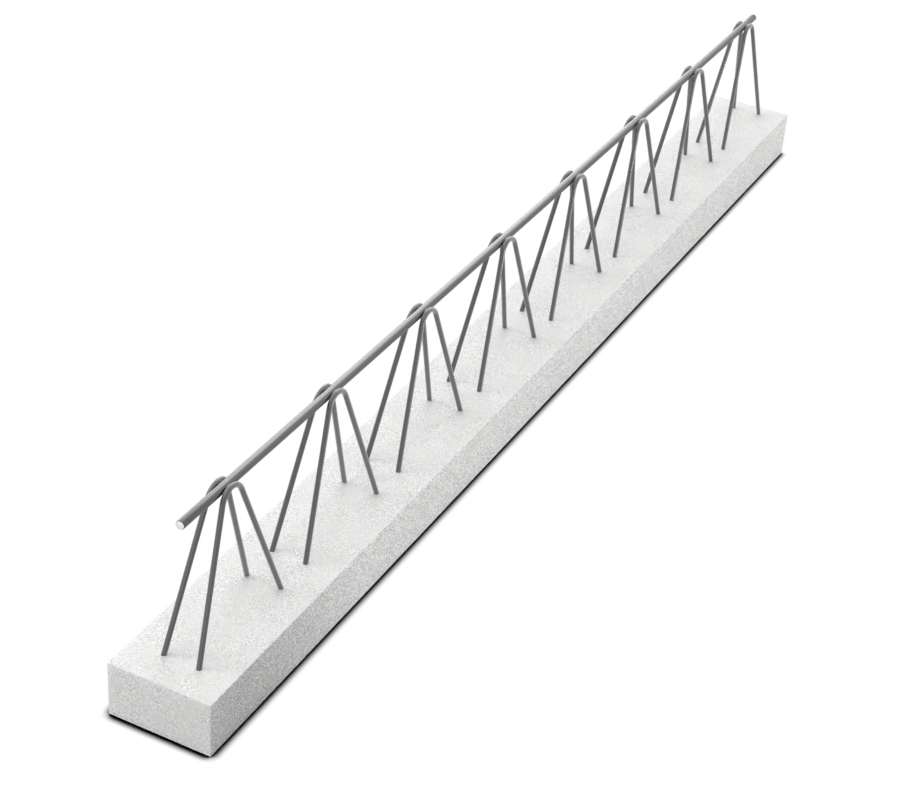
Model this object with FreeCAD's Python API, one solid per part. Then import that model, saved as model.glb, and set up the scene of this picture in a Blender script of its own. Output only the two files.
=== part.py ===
"""Precast floor beam: a concrete foot with a welded steel lattice girder cast into it.

The girder is five pieces: a top chord bar, two wires bent into zigzags that lean against
the top chord from either side, and two bottom bars welded along the outside of the
zigzags' lower bends. The lower bends and the bottom bars are buried in the foot, so those
bends are drawn plainly, with two corners each.

Frame: X along the beam, Y across it, Z up. The origin is the middle of the soffit.
"""

import FreeCAD
import Part
import math
import os

# Driving dimensions, in millimetres

# Concrete foot
FOOT_LENGTH = 1615.0
FOOT_WIDTH = 120.0
FOOT_HEIGHT = 65.0
MOULD_EDGE_RADIUS = 1.5      # on the edges that the mould forms: all but those of the struck top

# Lattice girder
GIRDER_HEIGHT = 220.0        # underside of the bottom bars to the top of the top chord
PANEL_LENGTH = 200.0         # from one peak of the zigzag to the next, before it is fitted to the foot
SOFFIT_COVER = 15.0          # concrete below the bottom bars
END_COVER = 15.0             # concrete beyond the cut ends of the buried steel
LOWER_BEND_SPACING = 48.0    # between the two zigzags, centre to centre at their lower bends
WELD_SET_DOWN = 0.15         # how far a resistance weld presses one bar into the other

# Bars
TOP_CHORD_DIAMETER = 10.0
TOP_CHORD_NEAR_OVERHANG = 76.0  # past the first peak, at -X
TOP_CHORD_FAR_OVERHANG = 40.0   # past the last peak, at +X
LATTICE_WIRE_DIAMETER = 6.0     # across two flats
UPPER_BEND_RADIUS = 18.0        # at the peaks, to the middle of the wire
LOWER_BEND_RADIUS = 10.0
WIRE_FLATS = 12                 # round the wire as drawn; with a multiple of four, one lies against each bar
BOTTOM_BAR_DIAMETER = 8.0

# Values worked out from them

TOP_CHORD_RADIUS = TOP_CHORD_DIAMETER / 2
WIRE_RADIUS = LATTICE_WIRE_DIAMETER / 2
BOTTOM_BAR_RADIUS = BOTTOM_BAR_DIAMETER / 2

GIRDER_TOP = SOFFIT_COVER + GIRDER_HEIGHT
STEEL_REACH = FOOT_LENGTH / 2 - END_COVER

# Whole panels fill the foot from the near end's cover on. The far end's cover cuts the last one short.
PANELLED_LENGTH = FOOT_LENGTH - END_COVER
PEAK_COUNT = round(PANELLED_LENGTH / PANEL_LENGTH)
PEAK_PITCH = PANELLED_LENGTH / PEAK_COUNT
PEAK_POSITIONS = [(i + 0.5) * PEAK_PITCH - STEEL_REACH for i in range(PEAK_COUNT)]

# The zigzag is flush with the top of the top chord and with the underside of the bottom bars.
PEAK_HEIGHT = GIRDER_TOP - WIRE_RADIUS
LOWER_BEND_HEIGHT = SOFFIT_COVER + WIRE_RADIUS
PEAK_OFFSET = TOP_CHORD_RADIUS + WIRE_RADIUS - WELD_SET_DOWN
LOWER_BEND_OFFSET = LOWER_BEND_SPACING / 2

# The plane of each zigzag leans in towards the top chord.
LATTICE_LEAN = math.atan2(LOWER_BEND_OFFSET - PEAK_OFFSET, PEAK_HEIGHT - LOWER_BEND_HEIGHT)
LATTICE_SLANT_HEIGHT = math.hypot(LOWER_BEND_OFFSET - PEAK_OFFSET, PEAK_HEIGHT - LOWER_BEND_HEIGHT)

TOP_CHORD_HEIGHT = GIRDER_TOP - TOP_CHORD_RADIUS
TOP_CHORD_START = PEAK_POSITIONS[0] - TOP_CHORD_NEAR_OVERHANG
TOP_CHORD_END = PEAK_POSITIONS[-1] + TOP_CHORD_FAR_OVERHANG
BOTTOM_BAR_HEIGHT = SOFFIT_COVER + BOTTOM_BAR_RADIUS
BOTTOM_BAR_OFFSET = LOWER_BEND_OFFSET + WIRE_RADIUS + BOTTOM_BAR_RADIUS - WELD_SET_DOWN


def vector(x, y, z):
    return FreeCAD.Vector(x, y, z)


ORIGIN = vector(0, 0, 0)
ALONG = vector(1, 0, 0)
ACROSS = vector(0, 1, 0)
MITRED_CORNERS = 1           # how the sweep turns a corner of its path


def straight_bar(radius, start, end, offset, height):
    """A round bar along X from one place to another."""
    return Part.makeCylinder(radius, end - start, vector(start, offset, height), ALONG)


def zigzag_path():
    """The middle line of a zigzag in the XZ plane: round at the peaks, squared off at the buried bends."""
    half_pitch = PEAK_PITCH / 2
    both_radii = UPPER_BEND_RADIUS + LOWER_BEND_RADIUS
    centre_rise = LATTICE_SLANT_HEIGHT - both_radii
    # Each leg is the line that touches the circles of a peak and the next lower bend on opposite sides.
    centre_distance = math.hypot(half_pitch, centre_rise)
    leg_angle = math.atan2(half_pitch, centre_rise) - math.asin(both_radii / centre_distance)
    shoulder_side = UPPER_BEND_RADIUS * math.cos(leg_angle)
    shoulder_height = LATTICE_SLANT_HEIGHT - UPPER_BEND_RADIUS * (1 - math.sin(leg_angle))
    # A lower bend has two corners, where its legs run on to the level of its lowest point.
    corner_side = LOWER_BEND_RADIUS * math.tan((math.pi / 2 - leg_angle) / 2)

    edges = []
    reached = vector(PEAK_POSITIONS[0] - half_pitch, 0, 0)
    for peak in PEAK_POSITIONS:
        corner_before = vector(peak - half_pitch + corner_side, 0, 0)
        shoulder_before = vector(peak - shoulder_side, 0, shoulder_height)
        top = vector(peak, 0, LATTICE_SLANT_HEIGHT)
        shoulder_after = vector(peak + shoulder_side, 0, shoulder_height)
        corner_after = vector(peak + half_pitch - corner_side, 0, 0)
        edges.append(Part.LineSegment(reached, corner_before))
        edges.append(Part.LineSegment(corner_before, shoulder_before))
        edges.append(Part.Arc(shoulder_before, top, shoulder_after))
        edges.append(Part.LineSegment(shoulder_after, corner_after))
        reached = corner_after
    edges.append(Part.LineSegment(reached, vector(PEAK_POSITIONS[-1] + half_pitch, 0, 0)))
    return Part.Wire([edge.toShape() for edge in edges])


def wire_section(middle):
    """The outline of the lattice wire across X, with a flat to either side to lie against the other bars."""
    corner_radius = WIRE_RADIUS / math.cos(math.pi / WIRE_FLATS)
    angles = [2 * math.pi * (i + 0.5) / WIRE_FLATS for i in range(WIRE_FLATS)]
    corners = [middle + vector(0, math.cos(a), math.sin(a)) * corner_radius for a in angles]
    return Part.makePolygon(corners + corners[:1])


def left_lattice_wire():
    """The zigzag on the +Y side, leaning against the top chord and cut off inside the foot's ends."""
    path = zigzag_path()
    section = wire_section(path.OrderedVertexes[0].Point)
    sweep = Part.BRepOffsetAPI.MakePipeShell(path)
    sweep.setBiNormalMode(ACROSS)
    sweep.setTransitionMode(MITRED_CORNERS)
    sweep.add(section)
    sweep.build()
    sweep.makeSolid()
    wire = sweep.shape()
    expected = Part.Face(section).Area * path.Length
    print("zigzag length %.0f mm, volume %.0f of %.0f mm3" % (path.Length, wire.Volume, expected))
    wire.rotate(ORIGIN, ALONG, math.degrees(LATTICE_LEAN))
    wire.translate(vector(0, LOWER_BEND_OFFSET, LOWER_BEND_HEIGHT))
    within_cover = Part.makeBox(
        2 * STEEL_REACH, FOOT_WIDTH, 2 * GIRDER_TOP, vector(-STEEL_REACH, -FOOT_WIDTH / 2, 0))
    return wire.common(within_cover).Solids[0]


def concrete_block():
    """The foot before the steel takes its place in it."""
    block = Part.makeBox(
        FOOT_LENGTH, FOOT_WIDTH, FOOT_HEIGHT, vector(-FOOT_LENGTH / 2, -FOOT_WIDTH / 2, 0))
    mould_edges = [edge for edge in block.Edges if edge.BoundBox.ZMin < FOOT_HEIGHT / 2]
    return block.makeFillet(MOULD_EDGE_RADIUS, mould_edges)


def build():
    """Every piece of the beam, by name."""
    wire_left = left_lattice_wire()
    wire_right = wire_left.mirror(ORIGIN, ACROSS)
    wires = [wire_left, wire_right]

    chord = straight_bar(TOP_CHORD_RADIUS, TOP_CHORD_START, TOP_CHORD_END, 0, TOP_CHORD_HEIGHT)
    bar_left = straight_bar(
        BOTTOM_BAR_RADIUS, -STEEL_REACH, STEEL_REACH, BOTTOM_BAR_OFFSET, BOTTOM_BAR_HEIGHT)
    bar_right = bar_left.mirror(ORIGIN, ACROSS)

    return {
        "concrete_foot": concrete_block().cut(wires + [bar_left, bar_right]),
        "top_chord": chord.cut(wires),
        "lattice_wire_left": wire_left,
        "lattice_wire_right": wire_right,
        "bottom_bar_left": bar_left.cut(wire_left),
        "bottom_bar_right": bar_right.cut(wire_right),
    }


def main():
    os.makedirs("parts", exist_ok=True)
    for name, shape in build().items():
        print("%s: %d solid, valid %s, %.0f mm3" % (name, len(shape.Solids), shape.isValid(), shape.Volume))
        shape.exportStep("parts/%s.step" % name)


main()
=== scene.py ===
# %% [markdown]
# # A precast floor beam
#
# The beam is a concrete foot with a welded lattice girder of steel bars cast into it. Beams lie side by side
# with hollow blocks between them, and concrete poured over both makes a floor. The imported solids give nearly
# every size and place here. The pieces that show are made again with the detail of the real ones, each
# surface gets its finish, and a floor, lamps and a camera make the picture.

# %% Load the solids
import math
import random

import bmesh
import bpy
from mathutils import Matrix, Vector, noise
from mathutils.geometry import delaunay_2d_cdt


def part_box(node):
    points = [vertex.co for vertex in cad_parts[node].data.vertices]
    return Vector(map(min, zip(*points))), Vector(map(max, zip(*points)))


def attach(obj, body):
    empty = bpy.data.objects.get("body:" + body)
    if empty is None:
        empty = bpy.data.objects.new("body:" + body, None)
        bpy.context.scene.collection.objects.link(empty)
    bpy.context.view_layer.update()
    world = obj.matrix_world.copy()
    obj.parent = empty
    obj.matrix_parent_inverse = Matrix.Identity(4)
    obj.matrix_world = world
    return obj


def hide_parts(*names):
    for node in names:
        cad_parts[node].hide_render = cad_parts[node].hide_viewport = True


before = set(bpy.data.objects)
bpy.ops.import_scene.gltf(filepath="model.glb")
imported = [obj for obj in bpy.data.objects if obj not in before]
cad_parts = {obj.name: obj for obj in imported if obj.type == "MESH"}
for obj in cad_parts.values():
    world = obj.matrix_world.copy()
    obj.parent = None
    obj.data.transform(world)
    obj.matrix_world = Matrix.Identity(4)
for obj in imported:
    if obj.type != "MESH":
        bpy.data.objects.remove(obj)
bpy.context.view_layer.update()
MM = 0.001
print("nodes:", ", ".join(sorted(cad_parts)))

# %% [markdown]
# ## Sizes
#
# Sizes are read from the boxes round the solids, so the new pieces land where the solids are. A box can't
# tell the thickness of a leaning wire or the radius of its bends, so those and the panel length are given.

# %% Read the sizes from the solids
foot_low, foot_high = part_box("concrete_foot")
chord_low, chord_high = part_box("top_chord")
wire_low, wire_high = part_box("lattice_wire_left")

WIRE_RADIUS = 3 * MM
UPPER_BEND = 18 * MM
LOWER_BEND = 10 * MM
PANEL_LENGTH = 200 * MM

CHORD_RADIUS = (chord_high.z - chord_low.z) / 2
CHORD_HEIGHT = (chord_high.z + chord_low.z) / 2
PANEL_COUNT = round((wire_high.x - wire_low.x) / PANEL_LENGTH)
PEAKS = [wire_low.x + (i + 0.5) * PANEL_LENGTH for i in range(PANEL_COUNT)]
PEAK_HEIGHT = chord_high.z - WIRE_RADIUS
PEAK_OFFSET = wire_low.y + WIRE_RADIUS
LOWER_HEIGHT = wire_low.z + WIRE_RADIUS
LOWER_OFFSET = wire_high.y - WIRE_RADIUS
print("%d peaks, chord %.1f mm thick" % (PANEL_COUNT, 2 * CHORD_RADIUS / MM))

# %% [markdown]
# ## The bent wires
#
# A machine feeds wire off a coil and bends it to and fro into a zigzag. A curve object with a round bevel
# could draw it, but its rings twist at tight bends. Here rings of points are set along the line one by one,
# all square to the same plane, so the wire stays round and even.
#
# The zigzag lies in a leaning plane. Its line is worked out flat, as a place along the beam and a distance
# up the slope, and then set into that plane.

# %% Work out the angle of the legs
HALF_PANEL = PANEL_LENGTH / 2
SLANT = math.hypot(LOWER_OFFSET - PEAK_OFFSET, PEAK_HEIGHT - LOWER_HEIGHT)
centre_rise = SLANT - UPPER_BEND - LOWER_BEND
centre_distance = math.hypot(HALF_PANEL, centre_rise)
# A leg is the line that touches the circles of an upper and a lower bend on opposite sides.
LEG_ANGLE = math.atan2(HALF_PANEL, centre_rise) - math.asin((UPPER_BEND + LOWER_BEND) / centre_distance)
SHOULDER_SIDE = UPPER_BEND * math.cos(LEG_ANGLE)
SHOULDER_UP = SLANT - UPPER_BEND * (1 - math.sin(LEG_ANGLE))
print("legs stand %.1f degrees off the upright" % math.degrees(LEG_ANGLE))

# %% Draw the zigzag's line
TURN = math.pi / 2 - LEG_ANGLE
BEND_STEPS = 16


def zigzag():
    """The wire's middle line as (place along the beam, distance up the slope)."""
    turns = [TURN * (2 * i / BEND_STEPS - 1) for i in range(BEND_STEPS + 1)]
    line = []
    for peak in PEAKS:
        valley = peak - HALF_PANEL
        line += [(valley + LOWER_BEND * math.sin(a), LOWER_BEND * (1 - math.cos(a))) for a in turns]
        line += [(peak + UPPER_BEND * math.sin(a), SLANT - UPPER_BEND * (1 - math.cos(a))) for a in turns]
    # The near end starts in the middle of a bend. The far end is cut off partway down a leg.
    line = line[BEND_STEPS // 2:]
    cut_along = wire_high.x - WIRE_RADIUS * math.cos(LEG_ANGLE)
    cut_up = SHOULDER_UP - (cut_along - PEAKS[-1] - SHOULDER_SIDE) / math.tan(LEG_ANGLE)
    return line + [(cut_along, cut_up)]


def in_slope(along, up, side):
    """Sets a point of the flat zigzag into the leaning plane, at the left side (1) or the right (-1)."""
    share = up / SLANT
    across = LOWER_OFFSET + (PEAK_OFFSET - LOWER_OFFSET) * share
    return Vector((along, side * across, LOWER_HEIGHT + (PEAK_HEIGHT - LOWER_HEIGHT) * share))


print("the zigzag's line has", len(zigzag()), "points")

# %% [markdown]
# One function makes both wires and the chord. It also stores on each point where that point lies on the drawn
# bar: round the section and along its length. The steel's finish later follows that, so drawing marks run
# along the bar, also round the bends.

# %% Put a piece into the scene
SHARP_ANGLE = math.radians(38)


def new_piece(name, shape):
    """Puts a shape into the scene as a piece of the beam, shaded smooth except over sharp edges."""
    mesh = bpy.data.meshes.new(name)
    shape.to_mesh(mesh)
    shape.free()
    mesh.shade_smooth()
    mesh.set_sharp_from_angle(angle=SHARP_ANGLE)
    piece = bpy.data.objects.new(name, mesh)
    bpy.context.scene.collection.objects.link(piece)
    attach(piece, "root")
    return piece


# %% Sweep a round bar along a line
BAR_SIDES = 28
CUT_END = 1  # the second material of a bar; the first is its skin


def bar_rings(line, radius, ends):
    """A bar's rings as (middle, way along it, radius). Those of ends take the place of its end points."""
    ways = [(b - a).normalized() for a, b in zip(line, line[1:])]
    rings = []
    for i, point in enumerate(line):
        way = (ways[max(i - 1, 0)] + ways[min(i, len(ways) - 1)]).normalized()
        rings.append((point, way, radius))
    first, last = rings[0], rings[-1]
    head = [(first[0] + first[1] * back, first[1], rim) for back, rim in ends]
    tail = [(last[0] - last[1] * back, last[1], rim) for back, rim in reversed(ends)]
    return head + rings[1:-1] + tail


def swept_bar(line, radius, square_to, ends):
    """A round bar along a line. Each of ends is a ring as (distance back from the end, radius)."""
    rings = bar_rings(line, radius, ends)
    shape = bmesh.new()
    drawn = shape.verts.layers.float_vector.new("drawn")
    loops = []
    travelled = 0.0
    for number, (point, way, size) in enumerate(rings):
        if number:
            travelled += (point - rings[number - 1][0]).length
        outward = way.cross(square_to).normalized()
        loop = []
        for k in range(BAR_SIDES):
            turn = 2 * math.pi * k / BAR_SIDES
            spoke = square_to * math.cos(turn) + outward * math.sin(turn)
            vert = shape.verts.new(point + spoke * size)
            vert[drawn] = (radius * math.cos(turn), radius * math.sin(turn), travelled)
            loop.append(vert)
        loops.append(loop)
    for a, b in zip(loops, loops[1:]):
        for k in range(BAR_SIDES):
            n = (k + 1) % BAR_SIDES
            shape.faces.new((a[k], a[n], b[n], b[k]))
    for loop in (loops[0], loops[-1]):
        cap = shape.faces.new(loop)
        cap.material_index = CUT_END
    bmesh.ops.recalc_face_normals(shape, faces=shape.faces)
    return shape


# %% Make the two lattice wires
SHEARED_WIRE = [(0.0, WIRE_RADIUS * 0.92), (0.5 * MM, WIRE_RADIUS)]
ALONG_BEAM = Vector((1, 0, 0))
wires = []
for name, side in (("lattice_wire_left", 1), ("lattice_wire_right", -1)):
    line = [in_slope(along, up, side) for along, up in zigzag()]
    slope = (in_slope(0, SLANT, side) - in_slope(0, 0, side)).normalized()
    shape = swept_bar(line, WIRE_RADIUS, slope.cross(ALONG_BEAM).normalized(), SHEARED_WIRE)
    print(name, "has", len(shape.faces), "faces")
    wire = new_piece(name + "_bent", shape)
    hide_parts(name)
    wires.append(wire)

# %% [markdown]
# ## The top chord
#
# The chord is a straight bar. A shear cuts it to length and leaves a bright, slightly drawn-in end with a
# small rim, so each end has two more rings than a plain cylinder would have.

# %% Make the top chord
SHEARED_CHORD = [(0.0, CHORD_RADIUS * 0.88), (0.25 * MM, CHORD_RADIUS * 0.97), (1.2 * MM, CHORD_RADIUS)]
chord_line = [Vector((chord_low.x, 0, CHORD_HEIGHT))]
chord_line += [Vector((peak, 0, CHORD_HEIGHT)) for peak in PEAKS]
chord_line += [Vector((chord_high.x, 0, CHORD_HEIGHT))]
shape = swept_bar(chord_line, CHORD_RADIUS, Vector((0, 0, 1)), SHEARED_CHORD)
print("top chord has", len(shape.faces), "faces")
chord = new_piece("top_chord_bar", shape)
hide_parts("top_chord")

# %% [markdown]
# ## The welds
#
# Each loop is pressed against the chord while a current melts the two together. The squeezed-out steel makes
# two small beads, one in the groove above the seam and one below it. They are spheres stretched along the
# groove, with noise to make each one a little different.

# %% Make the weld beads
BEADS = [
    # across and up from the chord's middle line, and the reach along, across and up
    (4.55 * MM, 2.6 * MM, (4.6 * MM, 1.15 * MM, 0.75 * MM)),
    (5.25 * MM, -0.1 * MM, (3.6 * MM, 0.85 * MM, 1.0 * MM)),
]
BEAD_SEGMENTS = 14
BEAD_RINGS = 8
LUMP_WIDTH = 1.8 * MM
LUMP_SHARE = 0.16
SORT_DIRECTION = Vector((1.0, 0.37, 0.11))
beads = bmesh.new()
for peak in PEAKS:
    for side in (1, -1):
        for across, above, reach in BEADS:
            middle = Vector((peak, side * across, CHORD_HEIGHT + above))
            place = Matrix.LocRotScale(middle, None, Vector(reach))
            made = bmesh.ops.create_uvsphere(
                beads, u_segments=BEAD_SEGMENTS, v_segments=BEAD_RINGS, radius=1.0, matrix=place)
            for vert in made["verts"]:
                lump = noise.noise(vert.co / LUMP_WIDTH)
                vert.co = middle + (vert.co - middle) * (1 + LUMP_SHARE * lump)
# The sphere tool's points and faces come in an order that differs from run to run, so they get a fixed one.
beads.verts.sort(key=lambda vert: vert.co.dot(SORT_DIRECTION))
beads.faces.sort(key=lambda face: face.calc_center_median().dot(SORT_DIRECTION))
print("weld beads have", len(beads.faces), "faces")
welds = new_piece("weld_beads", beads)

# %% [markdown]
# ## The concrete foot
#
# The foot is cast the right way up in a long steel mould: the sides and the underside take the mould's face,
# the ends that of a stop plate, and the top is struck off with a straightedge. Air that couldn't get out
# leaves small pits. Boolean cuts could make them, but hundreds of those are slow. Instead, each face is a
# sheet of triangles drawn round its pits: the points go through a Delaunay triangulation, and then the points
# of a pit are pushed in.
#
# The sheets are drawn on a box with sharp edges. One function then rounds the box: near an edge, it pulls
# each point to the edge's radius.

# %% Round the edges of a box
MOULD_EDGE = 1.3 * MM
STRUCK_EDGE = 0.6 * MM
LOW_EDGES = (MOULD_EDGE, MOULD_EDGE, MOULD_EDGE)
HIGH_EDGES = (MOULD_EDGE, MOULD_EDGE, STRUCK_EDGE)


def clamp(value, low, high):
    """The value, or the nearer end of the range if it lies outside."""
    return max(low, min(high, value))


def rounded(point):
    """The place of a sharp box's point on the rounded box, and the way out of the surface there."""
    radius = HIGH_EDGES if point.z > foot_high.z / 2 else LOW_EDGES
    core = Vector(clamp(point[i], foot_low[i] + LOW_EDGES[i], foot_high[i] - HIGH_EDGES[i]) for i in range(3))
    way = Vector((point[i] - core[i]) / radius[i] for i in range(3)).normalized()
    return core + Vector(way[i] * radius[i] for i in range(3)), way


print("edges rounded to %.1f mm, round the top to %.1f mm" % (MOULD_EDGE / MM, STRUCK_EDGE / MM))

# %% Set out places along an axis
ALONG, ACROSS, UP = 0, 1, 2
GRID = 8 * MM


def stations(axis):
    """Places along an axis of the box: close at its two rounded edges and even between them."""
    low_edge, high_edge = LOW_EDGES[axis], HIGH_EDGES[axis]
    low, high = foot_low[axis] + low_edge, foot_high[axis] - high_edge
    count = round((high - low) / GRID)
    middle = [low + (high - low) * i / count for i in range(count + 1)]
    return [foot_low[axis], low - low_edge / 2] + middle + [high + high_edge / 2, foot_high[axis]]


print("places along, across and up:", [len(stations(axis)) for axis in (ALONG, ACROSS, UP)])

# %% Scatter air pits over a face
TRIES_PER_PIT = 40
SMALLEST_PIT = 0.3       # as a share of the widest
PIT_MARGIN = 3           # to the face's edges, in radii of the widest
PIT_SPACING = 2.2        # between the middles of two pits, in sums of their radii
PIT_DEPTH = (0.5, 0.9)   # in radii
draw = random.Random(11)


def scatter_pits(u_span, v_span, count, widest):
    """Pits as (u, v, radius, depth), clear of the edges and of each other. Most of them are small."""
    pits = []
    tries = 0
    margin = PIT_MARGIN * widest
    while len(pits) < count and tries < TRIES_PER_PIT * count:
        tries += 1
        radius = widest * (SMALLEST_PIT + (1 - SMALLEST_PIT) * draw.random() ** 3)
        u = draw.uniform(u_span[0] + margin, u_span[1] - margin)
        v = draw.uniform(v_span[0] + margin, v_span[1] - margin)
        if all(math.hypot(u - p[0], v - p[1]) > PIT_SPACING * (radius + p[2]) for p in pits):
            pits.append((u, v, radius, radius * draw.uniform(*PIT_DEPTH)))
    return pits


# %% [markdown]
# Where a wire comes out of the top, the cement paste clings to it and stands up a little round it. Those
# collars are rings of points like the pits, but pushed out instead of in.

# %% Find where the wires come out


def leg_side(up):
    """How far the middle of a leg is from its peak, along the beam, at a distance up the slope."""
    return SHOULDER_SIDE + (SHOULDER_UP - up) * math.tan(LEG_ANGLE)


exit_up = (foot_high.z - LOWER_HEIGHT) / (PEAK_HEIGHT - LOWER_HEIGHT) * SLANT
exit_across = abs(in_slope(0, exit_up, 1).y)
wire_exits = [(peak + way * leg_side(exit_up), side * exit_across)
              for peak in PEAKS for way in (-1, 1) for side in (1, -1)]
print("%d wires come out, %.1f mm to each side of a peak" % (len(wire_exits), leg_side(exit_up) / MM))

# %% Draw the rings of pits and collars
PIT_RINGS = [
    # radius and depth as shares of the pit's, number of points, unevenness
    (1.0, 0.0, 10, 0.12),
    (0.66, 0.75, 8, 0.1),
]
PASTE_CREEP = 0.4 * MM
COLLAR_RINGS = [
    # radius in radii of the wire, height as a share of the paste's creep, number of points, unevenness
    (1.12, 1.0, 14, 0.02),
    (1.6, 0.25, 14, 0.08),
    (2.4, 0.0, 14, 0.12),
]


def ring(u, v, radius, count, wobble):
    """Points round a middle, each at a slightly different distance from it."""
    start = draw.uniform(0, 2 * math.pi)
    spokes = [(start + 2 * math.pi * k / count, radius * (1 + draw.uniform(-wobble, wobble)))
              for k in range(count)]
    return [(u + reach * math.cos(a), v + reach * math.sin(a)) for a, reach in spokes]


def relief_points(pits, collars):
    """The points of every pit and collar of a face, each as (u, v, height over the face)."""
    points = []
    for u, v, radius, depth in pits:
        for share, deep, count, wobble in PIT_RINGS:
            points += [(a, b, -deep * depth) for a, b in ring(u, v, share * radius, count, wobble)]
        points.append((u, v, -depth))
    for u, v in collars:
        for share, high, count, wobble in COLLAR_RINGS:
            points += [(a, b, high * PASTE_CREEP) for a, b in ring(u, v, share * WIRE_RADIUS, count, wobble)]
    return points


# %% Gather all points of a face
PIT_CLEAR = 1.6      # no grid points nearer to a pit than this, in its radii
COLLAR_CLEAR = 3     # nor nearer to a wire, in its radii
EDGE_ROWS = 2        # rows of the grid that stay straight
GRID_SHIFT = 0.3     # how far other points of the grid may move, in grid widths


def face_outline(u_places, v_places):
    """The points along the four edges of a face, once round."""
    last_u, last_v = len(u_places) - 1, len(v_places) - 1
    outline = [(u_places[i], v_places[0], 0.0) for i in range(last_u)]
    outline += [(u_places[last_u], v_places[j], 0.0) for j in range(last_v)]
    outline += [(u_places[i], v_places[last_v], 0.0) for i in range(last_u, 0, -1)]
    return outline + [(u_places[0], v_places[j], 0.0) for j in range(last_v, 0, -1)]


def grid_points(u_places, v_places, pits, collars):
    """The points of a loose grid over a face, except where pits and collars are."""
    last_u, last_v = len(u_places) - 1, len(v_places) - 1
    busy = [(u, v, PIT_CLEAR * radius) for u, v, radius, _ in pits]
    busy += [(u, v, COLLAR_CLEAR * WIRE_RADIUS) for u, v in collars]
    points = []
    for i in range(1, last_u):
        for j in range(1, last_v):
            u, v = u_places[i], v_places[j]
            if EDGE_ROWS < i < last_u - EDGE_ROWS and EDGE_ROWS < j < last_v - EDGE_ROWS:
                u += draw.uniform(-GRID_SHIFT, GRID_SHIFT) * GRID
                v += draw.uniform(-GRID_SHIFT, GRID_SHIFT) * GRID
            if all(math.hypot(u - a, v - b) > reach for a, b, reach in busy):
                points.append((u, v, 0.0))
    return points


# %% Cover a face with triangles
INSIDE_OUTLINE = 1       # which triangles the triangulation keeps
SAME_POINT = 1e-9
WAVES = [(0.09, 26), (0.04, 7)]  # depth and width in millimetres


def face_axes(axis):
    """The two axes along which a face across the given axis spreads."""
    return [i for i in (ALONG, ACROSS, UP) if i != axis]


def cover_face(shape, axis, at_high, pits, collars, finish):
    """Adds one face of the foot to the shape."""
    u_axis, v_axis = face_axes(axis)
    u_places, v_places = stations(u_axis), stations(v_axis)
    outline = face_outline(u_places, v_places)
    points = outline + grid_points(u_places, v_places, pits, collars) + relief_points(pits, collars)
    loop = [(i, (i + 1) % len(outline)) for i in range(len(outline))]
    flat = [Vector((u, v)) for u, v, _ in points]
    places, _, triangles, sources, _, _ = delaunay_2d_cdt(flat, loop, [], INSIDE_OUTLINE, SAME_POINT)
    verts = []
    for place, source in zip(places, sources):
        sharp = Vector((0, 0, 0))
        sharp[u_axis], sharp[v_axis] = place
        sharp[axis] = foot_high[axis] if at_high else foot_low[axis]
        spot, way = rounded(sharp)
        height = points[source[0]][2] if source else 0.0
        # No cast face is quite flat: the surface waves a little, always inwards of the true box.
        wave = sum(depth * (1 + noise.noise(sharp / (width * MM))) for depth, width in WAVES)
        verts.append(shape.verts.new(spot + way * (height - wave * MM)))
    for triangle in triangles:
        face = shape.faces.new([verts[i] for i in triangle])
        face.material_index = finish
    return len(triangles)


# %% Make the foot
STRUCK_TOP, MOULD_SIDE, STOP_END = 0, 1, 2
FACES = [
    # axis, high side, pits, radius of the widest pit, finish
    (UP, True, 150, 1.1 * MM, STRUCK_TOP),
    (UP, False, 150, 2.2 * MM, MOULD_SIDE),
    (ACROSS, True, 170, 1.9 * MM, MOULD_SIDE),
    (ACROSS, False, 170, 1.9 * MM, MOULD_SIDE),
    (ALONG, True, 26, 1.6 * MM, STOP_END),
    (ALONG, False, 26, 1.6 * MM, STOP_END),
]
SEAM = 0.002 * MM
shape = bmesh.new()
for axis, at_high, count, widest, finish in FACES:
    spans = [(foot_low[i], foot_high[i]) for i in face_axes(axis)]
    pits = scatter_pits(*spans, count, widest)
    collars = wire_exits if finish == STRUCK_TOP else []
    made = cover_face(shape, axis, at_high, pits, collars, finish)
    print("face across %s: %d pits, %d triangles" % ("XYZ"[axis], len(pits), made))
bmesh.ops.remove_doubles(shape, verts=shape.verts, dist=SEAM)
bmesh.ops.recalc_face_normals(shape, faces=shape.faces)
open_edges = [edge for edge in shape.edges if len(edge.link_faces) != 2]
print("foot has %d triangles and %d open edges" % (len(shape.faces), len(open_edges)))
foot = new_piece("cast_foot", shape)
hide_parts("concrete_foot")

# %% [markdown]
# ## Finishes
#
# Every finish is drawn with nodes. Colours are written as on a screen, in sRGB, and one function turns them
# into the linear values that light is worked out with. Another adds a node, sets it up and links it, and a
# third turns the width of a pattern into the scale that Blender's textures ask for.

# %% Helpers for colours and nodes


def linear(code):
    """An sRGB colour such as "d9d9d8" as linear red, green, blue and alpha."""
    parts = [int(code[i:i + 2], 16) / 255 for i in (0, 2, 4)]
    return tuple(p / 12.92 if p <= 0.04045 else ((p + 0.055) / 1.055) ** 2.4 for p in parts) + (1.0,)


def per_metre(width_mm):
    """How many times a pattern of a given width fits into a metre."""
    return 1000 / width_mm


def add(tree, kind, links=None, **settings):
    """Adds a node to a tree. Settings name a property or an input; links go from an output to an input."""
    node = tree.nodes.new("ShaderNode" + kind)
    for name, value in settings.items():
        if name == "stops":
            # A ramp starts with two stops, so those between the first and the last are added.
            ramp = node.color_ramp
            for place, _ in value[1:-1]:
                ramp.elements.new(place)
            for element, (place, code) in zip(ramp.elements, value):
                element.position = place
                element.color = linear(code)
        elif hasattr(node, name):
            setattr(node, name, value)
        else:
            node.inputs[name.replace("_", " ")].default_value = value
    for target, source in (links or {}).items():
        tree.links.new(source, node.inputs[target])
    return node


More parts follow.
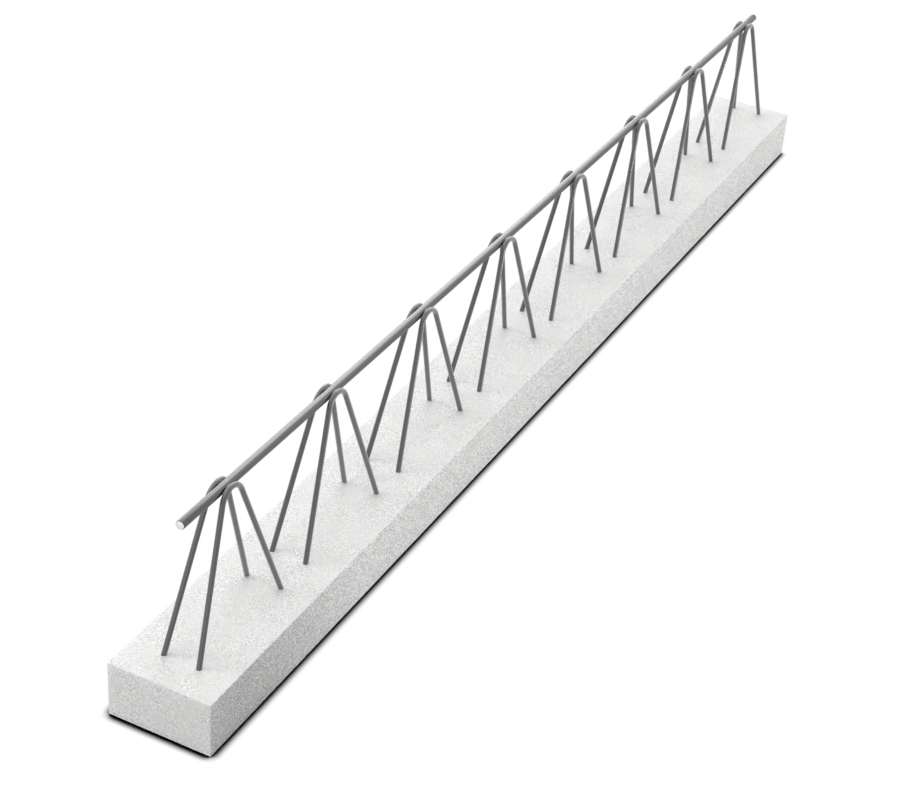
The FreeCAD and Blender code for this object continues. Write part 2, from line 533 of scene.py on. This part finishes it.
def new_material(name):
    """An empty material, its tree and its output node."""
    material = bpy.data.materials.new(name)
    material.use_nodes = True
    material.node_tree.nodes.clear()
    return material, material.node_tree, add(material.node_tree, "OutputMaterial")


print("mid grey 808080 is", round(linear("808080")[0], 3), "in linear light")

# %% [markdown]
# ### Concrete
#
# The foot is fine-grained concrete of pale cement and sand. Its paste is a matt, neutral light grey with
# faint clouds. Sand grains at the surface make light and dark specks up to a millimetre across, which gather
# in some places and fade in others. A picture of concrete could be laid over the faces, but it would stretch
# at the edges and show where it repeats. Here one function draws the grain in space, for all three kinds of
# face.

# %% Draw concrete
CLOUD_MM = 60
PATCH_MM = 25
HOLLOW = 1.4     # width of the hollows between sand grains, in grains


def concrete(name, paste, grain_mm, grain, patchy, relief_mm):
    """Cast concrete. grain is how strongly the sand shows in the paste's colours, patchy how much it gathers
    in some places, and relief_mm how rough it makes the surface."""
    material, tree, out = new_material(name)
    place = add(tree, "TexCoord").outputs["Object"]
    # Faint clouds in the paste
    cloud = add(tree, "TexNoise", {"Vector": place}, Scale=per_metre(CLOUD_MM), Detail=1.0).outputs[0]
    cloud = add(tree, "MapRange", {"Value": cloud}, To_Min=0.44, To_Max=0.56).outputs[0]
    # Patches where the sand gathers
    gather = add(tree, "TexNoise", {"Vector": place}, Scale=per_metre(PATCH_MM), Detail=2.0).outputs[0]
    amount = add(tree, "MapRange", {"Value": gather}, From_Min=0.42, From_Max=0.62,
                 To_Min=grain * (1 - patchy), To_Max=grain).outputs[0]
    # Sand: each cell of the pattern is one grain with a grey of its own, made to vary about nought by taking
    # away 0.5, which is a Math node's second value when none is set
    sand = add(tree, "TexVoronoi", {"Vector": place}, Scale=per_metre(grain_mm)).outputs["Color"]
    offset = add(tree, "Math", {0: sand}, operation="SUBTRACT").outputs[0]
    specks = add(tree, "Math", {0: offset, 1: amount}, operation="MULTIPLY").outputs[0]
    tone = add(tree, "Math", {0: cloud, 1: specks}, operation="ADD").outputs[0]
    colour = add(tree, "ValToRGB", {"Fac": tone}, stops=paste).outputs["Color"]
    # The surface dips a little between grains
    rough = add(tree, "TexNoise", {"Vector": place}, Scale=per_metre(HOLLOW * grain_mm),
                Detail=3.0, Roughness=0.65).outputs[0]
    bump = add(tree, "Bump", {"Height": rough}, Distance=relief_mm * MM, Strength=1.0).outputs[0]
    shader = add(tree, "BsdfPrincipled", {"Base Color": colour, "Normal": bump}, Roughness=0.9, IOR=1.5)
    tree.links.new(shader.outputs[0], out.inputs["Surface"])
    return material


# %% Concrete: struck, mould-cast and stop-end
PALE_PASTE = [(0.0, "b8b8b7"), (0.5, "e0e0df"), (1.0, "fdfdfc")]
MOULD_FACE_PASTE = [(0.0, "a4a4a3"), (0.5, "d8d8d7"), (1.0, "fafaf9")]
# The top, struck off with a straightedge that draws paste up over the sand: the smoothest, finely specked
struck = concrete("struck_concrete", PALE_PASTE, grain_mm=0.7, grain=1.7, patchy=0.6, relief_mm=0.05)
# Sides and underside, cast against an oiled mould: the sand shows most, so they look rougher; their paste is
# drawn darker than the top's
moulded = concrete("mould_cast_concrete", MOULD_FACE_PASTE, grain_mm=0.7, grain=4.2, patchy=0.3, relief_mm=0.30)
# The ends, cast against stop plates: specks larger than on the top, but fainter
stopped = concrete("stop_end_concrete", PALE_PASTE, grain_mm=1.0, grain=1.3, patchy=0.5, relief_mm=0.08)
for material in (struck, moulded, stopped):
    foot.data.materials.append(material)
print("concrete:", ", ".join(m.name for m in foot.data.materials))

# %% [markdown]
# ### Steel
#
# The bars are cold-drawn. Drawing through a die leaves a smooth skin with fine lines along the bar, dulled by
# a grey film of drawing soap and oxide, so it is darker than polished steel but still reflects like a metal.
# On the wires, which come off a coil, the dry film also lightens the edges, as dust does, and the shader's
# sheen gives that. The chord was pulled straight through rollers, which leaves it cleaner and smoother.
#
# Real drawing lines are finer than half a millimetre. They are drawn that wide so that they show close up.

# %% Draw steel
FILM = 9     # width of patches in the film, in widths of a mark


def steel(name, tones, marks, fine_mm, long_mm, smooth, dull, relief_mm, dust):
    """Bare steel with marks of a given width and length. marks names the attribute that holds the place on
    the bar, or is None for marks along the beam. dust is how much of a light film lies on the steel."""
    material, tree, out = new_material(name)
    if marks:
        place = add(tree, "Attribute", attribute_name=marks).outputs["Vector"]
        stretch = (1.0, 1.0, fine_mm / long_mm)
    else:
        place = add(tree, "TexCoord").outputs["Object"]
        stretch = (fine_mm / long_mm, 1.0, 1.0)
    drawn = add(tree, "Mapping", {"Vector": place}, Scale=stretch).outputs[0]
    lines = add(tree, "TexNoise", {"Vector": drawn}, Scale=per_metre(fine_mm),
                Detail=4.0, Roughness=0.6).outputs[0]
    film = add(tree, "TexNoise", {"Vector": drawn}, Scale=per_metre(FILM * fine_mm), Detail=3.0).outputs[0]
    colour = add(tree, "ValToRGB", {"Fac": film}, stops=tones).outputs["Color"]
    roughness = add(tree, "MapRange", {"Value": lines}, From_Min=0.3, From_Max=0.7,
                    To_Min=smooth, To_Max=dull).outputs[0]
    bump = add(tree, "Bump", {"Height": lines}, Distance=relief_mm * MM, Strength=1.0).outputs[0]
    shader = add(tree, "BsdfPrincipled", {"Base Color": colour, "Roughness": roughness, "Normal": bump},
                 Metallic=1.0, Sheen_Weight=dust, Sheen_Roughness=0.5)
    tree.links.new(shader.outputs[0], out.inputs["Surface"])
    return material


# %% Steel: drawn, sheared and welded
GREY_SKIN = [(0.3, "535355"), (0.7, "5b5b5d")]
BRIGHT_SKIN = [(0.3, "5a5a5b"), (0.7, "626263")]
BARE_CUT = [(0.3, "dcdcdc"), (0.7, "f0f0f0")]
HEATED = [(0.3, "4c4c4e"), (0.7, "646466")]
# Wire off a coil: dull dark grey with lighter edges
coiled_steel = steel("coiled_wire_steel", GREY_SKIN, "drawn", fine_mm=0.5, long_mm=60,
                     smooth=0.40, dull=0.46, relief_mm=0.001, dust=1.0)
# Bar pulled straight: smoother, so it shades from bright to dark across its width
straight_steel = steel("straightened_bar_steel", BRIGHT_SKIN, "drawn", fine_mm=0.5, long_mm=60,
                       smooth=0.24, dull=0.28, relief_mm=0.001, dust=0.0)
# Bar inside the concrete: as the wire
buried_steel = steel("buried_bar_steel", GREY_SKIN, None, fine_mm=0.5, long_mm=60,
                     smooth=0.40, dull=0.46, relief_mm=0.001, dust=1.0)
# Cut through by a shear: bare, bright and torn rough
sheared_steel = steel("sheared_steel", BARE_CUT, None, fine_mm=0.6, long_mm=2,
                      smooth=0.42, dull=0.58, relief_mm=0.03, dust=0.0)
# Squeezed out while molten: dark and lumpy
welded_steel = steel("upset_weld_steel", HEATED, None, fine_mm=0.8, long_mm=1.2,
                     smooth=0.4, dull=0.6, relief_mm=0.06, dust=0.0)
steels = (coiled_steel, straight_steel, buried_steel, sheared_steel, welded_steel)
print("steel:", ", ".join(m.name for m in steels))

# %% Give the bars and welds their steel
for wire in wires:
    wire.data.materials.append(coiled_steel)
    wire.data.materials.append(sheared_steel)
chord.data.materials.append(straight_steel)
chord.data.materials.append(sheared_steel)
welds.data.materials.append(welded_steel)
buried_bars = [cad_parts[name].data for name in ("bottom_bar_left", "bottom_bar_right")]
for bar in buried_bars:
    bar.materials.clear()
    bar.materials.append(buried_steel)
print("steel on", len(wires) + len(buried_bars) + 2, "pieces")

# %% [markdown]
# ## Floor and light
#
# The beam lies on a white studio floor. To the camera and in reflections the floor is plain white, with a
# dark line of contact shadow that fades within a finger's width. Ambient occlusion gives that line: it tells
# how much of the open space above each spot the beam takes away. It looks a little towards the far end, so
# the line is widest in front of the near end. All other rays see an ordinary pale floor, which throws light
# up at the sides. Seen from below, the floor is clear. It is also open under the beam, so that light reaches
# the underside.

# %% Lay the floor
FLOOR_GAP = 0.2 * MM
FLOOR_REACH = 14.0
OPENING_INSET = 4 * MM


def corners(x_low, x_high, y_low, y_high):
    """The four corners of a rectangle at the floor's height."""
    flat = [(x_low, y_low), (x_high, y_low), (x_high, y_high), (x_low, y_high)]
    return [(x, y, -FLOOR_GAP) for x, y in flat]


outer = corners(-FLOOR_REACH, FLOOR_REACH, -FLOOR_REACH, FLOOR_REACH)
inner = corners(foot_low.x + OPENING_INSET, foot_high.x - OPENING_INSET,
                foot_low.y + OPENING_INSET, foot_high.y - OPENING_INSET)
# Four quads join the outer corners, 0 to 3, to the inner ones, 4 to 7.
quads = [(i, (i + 1) % 4, 4 + (i + 1) % 4, 4 + i) for i in range(4)]
mesh = bpy.data.meshes.new("studio_floor")
mesh.from_pydata(outer + inner, [], quads)
floor = bpy.data.objects.new("studio_floor", mesh)
bpy.context.scene.collection.objects.link(floor)
print("floor", 2 * FLOOR_REACH, "m wide")

# %% Finish the floor
CONTACT_REACH = 12 * MM
BLACK_BELOW, WHITE_ABOVE = 0.60, 0.93    # shares of open space


def seen_ray(tree):
    """1 for rays that show the camera something, straight on, in a reflection or through glass, else 0."""
    rays = add(tree, "LightPath").outputs
    seen = add(tree, "Math", {0: rays["Is Camera Ray"], 1: rays["Is Glossy Ray"]}, operation="MAXIMUM")
    both = {0: seen.outputs[0], 1: rays["Is Transmission Ray"]}
    return add(tree, "Math", both, operation="MAXIMUM").outputs[0]


material, tree, out = new_material("white_studio_floor")
seen = seen_ray(tree)
lean = add(tree, "CombineXYZ", X=0.11, Z=0.9).outputs[0]
open_space = add(tree, "AmbientOcclusion", {"Normal": lean}, Distance=CONTACT_REACH, samples=16).outputs["AO"]
contact = add(tree, "MapRange", {"Value": open_space}, From_Min=BLACK_BELOW, From_Max=WHITE_ABOVE).outputs[0]
white = add(tree, "Emission", {"Strength": contact})
pale = add(tree, "BsdfDiffuse", Color=linear("dcdcdc"))
shown = add(tree, "MixShader", {0: seen, 1: pale.outputs[0], 2: white.outputs[0]})
clear = add(tree, "BsdfTransparent")
under = add(tree, "NewGeometry").outputs["Backfacing"]
both = add(tree, "MixShader", {0: under, 1: shown.outputs[0], 2: clear.outputs[0]})
tree.links.new(both.outputs[0], out.inputs["Surface"])
floor.data.materials.append(material)
print("contact line fades within %.0f mm" % (CONTACT_REACH / MM))

# %% [markdown]
# The light is soft. A sun on the left lays faint shadows of the wires on the top, and a very broad one fills
# them. A softbox over the near end, and a small one in front of it, make up for the lamps at the far end.
# Those are three large softboxes in an arch from left to right, each dimmer than the one before. The chord
# mirrors them, which shades it from bright at the upper left to dark at the lower right. A low spot on the
# right lights the long side and leaves its near end in shade. The room gives an even, dim light, brighter
# from below for the underside, and shows white to the camera and in reflections.

# %% Set the lamps
SOFFIT_MIDDLE = (0, 0, 0)
GIRDER_MIDDLE = (0, 0, 0.2)
NEAR_TOP = (-0.5, 0, 0.06)
NEAR_END = (-0.8, 0, 0.03)
LONG_SIDE = (0.33, -0.06, 0.04)


def lamp(name, kind, place, target, **settings):
    """Adds a lamp with its settings and turns it to a target."""
    data = bpy.data.lights.new(name, kind)
    for key, value in settings.items():
        setattr(data, key, value)
    thing = bpy.data.objects.new(name, data)
    bpy.context.scene.collection.objects.link(thing)
    thing.location = place
    thing.rotation_euler = (Vector(target) - Vector(place)).to_track_quat("-Z", "Y").to_euler()


def softbox(name, place, target, energy, width, height):
    """Adds a lamp with a large flat face."""
    lamp(name, "AREA", place, target, energy=energy, shape="RECTANGLE", size=width, size_y=height)


lamp("left_key", "SUN", (-0.22, 0.79, 0.574), SOFFIT_MIDDLE, energy=0.58, angle=math.radians(25))
lamp("high_fill", "SUN", (-0.2, 0.3, 0.93), SOFFIT_MIDDLE, energy=0.92, angle=math.radians(120))
softbox("near_top_softbox", (-1.2, 0.8, 2.6), NEAR_TOP, energy=17, width=2.4, height=2.4)
softbox("near_fill", (-3.4, -0.6, 0.4), NEAR_END, energy=7, width=1.6, height=0.8)
softbox("far_left_softbox", (11.5, 10.5, 4.5), GIRDER_MIDDLE, energy=900, width=11, height=6.5)
softbox("far_top_softbox", (11.0, 2.0, 10.0), GIRDER_MIDDLE, energy=840, width=11, height=7)
softbox("far_right_softbox", (12.0, -6.5, 6.0), GIRDER_MIDDLE, energy=150, width=8, height=7)
lamp("side_spot", "SPOT", (0.38, -2.4, 0.06), LONG_SIDE, energy=104, spot_size=math.radians(46),
     spot_blend=0.15, shadow_soft_size=0.1)

# %% Light the room
ROOM_LIGHT = 0.30
LIGHT_FROM_BELOW = 0.9
world = bpy.data.worlds.new("studio_room")
bpy.context.scene.world = world
world.use_nodes = True
tree = world.node_tree
tree.nodes.clear()
seen = seen_ray(tree)
way = add(tree, "TexCoord").outputs["Generated"]
height = add(tree, "SeparateXYZ", {0: way}).outputs["Z"]
dimness = add(tree, "MapRange", {"Value": height}, From_Min=-0.05, From_Max=0.0,
              To_Min=LIGHT_FROM_BELOW, To_Max=ROOM_LIGHT).outputs[0]
dim = add(tree, "Background", {"Strength": dimness}, Color=linear("ffffff"))
white = add(tree, "Background", Color=linear("ffffff"), Strength=1.0)
shown = add(tree, "MixShader", {0: seen, 1: dim.outputs[0], 2: white.outputs[0]})
add(tree, "OutputWorld", {"Surface": shown.outputs[0]})
print("room light %.2f from above, %.2f from below" % (ROOM_LIGHT, LIGHT_FROM_BELOW))

# %% [markdown]
# ## Camera
#
# The camera stands where the picture was taken from: beyond the near end, to the right of the beam and above
# it, looking down along it. The place and the turn come from fitting the beam's corners, peaks and feet to
# the picture. It is tipped sideways by a few degrees.

# %% Place the camera
PICTURE_WIDTH = 908
FOCAL_PIXELS = 2065
CAMERA_PLACE = (-2.0626, -0.8811, 1.3809)
HEADING, DIP, TIP = (math.radians(a) for a in (25.23, 32.61, 4.43))
forward = Vector((math.cos(DIP) * math.cos(HEADING), math.cos(DIP) * math.sin(HEADING), -math.sin(DIP)))
level = Vector((math.sin(HEADING), -math.cos(HEADING), 0))
upright = level.cross(forward)
right = math.cos(TIP) * level + math.sin(TIP) * upright
up = math.cos(TIP) * upright - math.sin(TIP) * level
data = bpy.data.cameras.new("camera")
data.sensor_fit = "HORIZONTAL"
data.lens = data.sensor_width * FOCAL_PIXELS / PICTURE_WIDTH
camera = bpy.data.objects.new("camera", data)
bpy.context.scene.collection.objects.link(camera)
turn = Matrix((right, up, -forward)).transposed().to_4x4()
camera.matrix_world = Matrix.Translation(CAMERA_PLACE) @ turn
bpy.context.scene.camera = camera
bpy.context.scene.view_settings.view_transform = "Standard"
print("lens %.1f mm" % data.lens)
